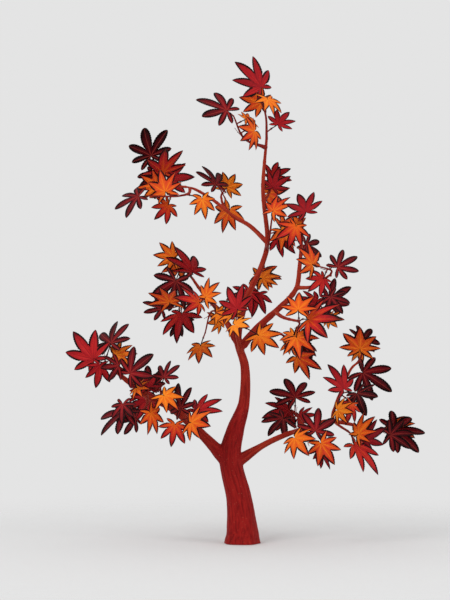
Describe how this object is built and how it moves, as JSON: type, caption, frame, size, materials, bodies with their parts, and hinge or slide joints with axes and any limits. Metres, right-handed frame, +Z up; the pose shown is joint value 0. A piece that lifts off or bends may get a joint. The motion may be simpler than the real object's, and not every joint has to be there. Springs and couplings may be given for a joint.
{
  "type": "japanese maple tree",
  "caption": "Small rooted garden maple in autumn leaf: a leaning, flared trunk with slender boughs and open sprays of maroon, crimson and orange palm-shaped leaves.",
  "frame": {"origin": "middle of the flat cut under the trunk, at ground level", "axes": "+Z up; -Y towards the side the tree is mostly seen from; the long lower right bough runs to +X"},
  "size_m": [1.1194, 0.6761, 1.5036],
  "materials": {
    "bark": "smooth dark red-brown bark, finely fissured",
    "maroon_leaf": "satin, dark maroon blade with a paler midrib",
    "crimson_leaf": "satin, crimson blade shading to scarlet",
    "orange_leaf": "satin, amber-orange middle shading to vermilion tips"
  },
  "bodies": {
    "root": {"trunk": "bark", "lower_left": "bark", "left_near": "bark", "left_back": "bark", "left_inner": "bark", "left_front": "bark", "left_riser": "bark", "lower_right": "bark", "right_front": "bark", "right_near": "bark", "right_drop": "bark", "right_riser": "bark", "right_inner": "bark", "front_bough": "bark", "right_limb": "bark", "right_low": "bark", "right_mid": "bark", "right_outer": "bark", "right_shoot": "bark", "left_limb": "bark", "left_thin": "bark", "left_low": "bark", "left_side": "bark", "centre_bough": "bark", "upper_left": "bark", "upper_back": "bark", "upper_low": "bark", "leaves_crown_top": "crimson_leaf", "leaves_crown_left": "maroon_leaf", "leaves_upper_left_end": "maroon_leaf", "leaves_upper_left_low": "maroon_leaf", "leaves_upper_left_back": "orange_leaf", "leaves_upper_right": "orange_leaf", "leaves_upper_twig": "crimson_leaf", "leaves_right_limb_end": "crimson_leaf", "leaves_right_shoot_end": "orange_leaf", "leaves_right_outer": "maroon_leaf", "leaves_right_mid": "orange_leaf", "leaves_right_low": "orange_leaf", "leaves_centre_front": "crimson_leaf", "leaves_centre_back": "orange_leaf", "leaves_left_limb_end": "orange_leaf", "leaves_left_side": "maroon_leaf", "leaves_left_low": "orange_leaf", "leaves_left_pendant": "orange_leaf", "leaves_lower_left_end": "crimson_leaf", "leaves_lower_left_upper": "maroon_leaf", "leaves_lower_left_inner": "maroon_leaf", "leaves_lower_left_front": "maroon_leaf", "leaves_lower_left_near": "orange_leaf", "leaves_lower_left_back": "crimson_leaf", "leaves_lower_right_end": "maroon_leaf", "leaves_lower_right_drop": "crimson_leaf", "leaves_riser_end": "maroon_leaf", "leaves_riser_inner": "crimson_leaf", "leaves_lower_right_front": "orange_leaf", "leaves_lower_right_back": "crimson_leaf"}
  },
  "joints": []
}
